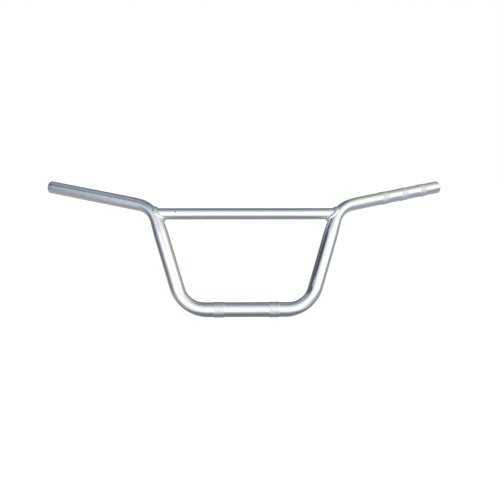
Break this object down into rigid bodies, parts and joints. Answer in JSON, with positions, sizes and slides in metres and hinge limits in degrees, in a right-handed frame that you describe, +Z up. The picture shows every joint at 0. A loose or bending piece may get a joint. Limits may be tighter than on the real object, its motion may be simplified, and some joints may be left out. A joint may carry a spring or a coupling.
{
  "type": "bicycle handlebar",
  "caption": "Braced riser handlebar: a bent chromed steel tube with flared legs, swept grip ends, rolled knurl bands and a welded crossbar.",
  "frame": {"origin": "on the axis of the bottom run, midway between the two clamp knurls, where the stem holds the bar", "axes": "+X across the bar to the rider's left, where the grip end is knurled; +Y to the rear, towards the rider; +Z up, with the legs leaning back as they do on the bicycle"},
  "size_m": [0.7268, 0.1872, 0.2048],
  "materials": {
    "chromed_tube": "bright chrome plate over bent steel tube, with satin knurl bands",
    "chromed_weld": "rippled weld bead under bright chrome plate"
  },
  "bodies": {
    "root": {"main_bar": "chromed_tube", "crossbar": "chromed_tube", "weld_left": "chromed_weld", "weld_right": "chromed_weld"}
  },
  "joints": []
}
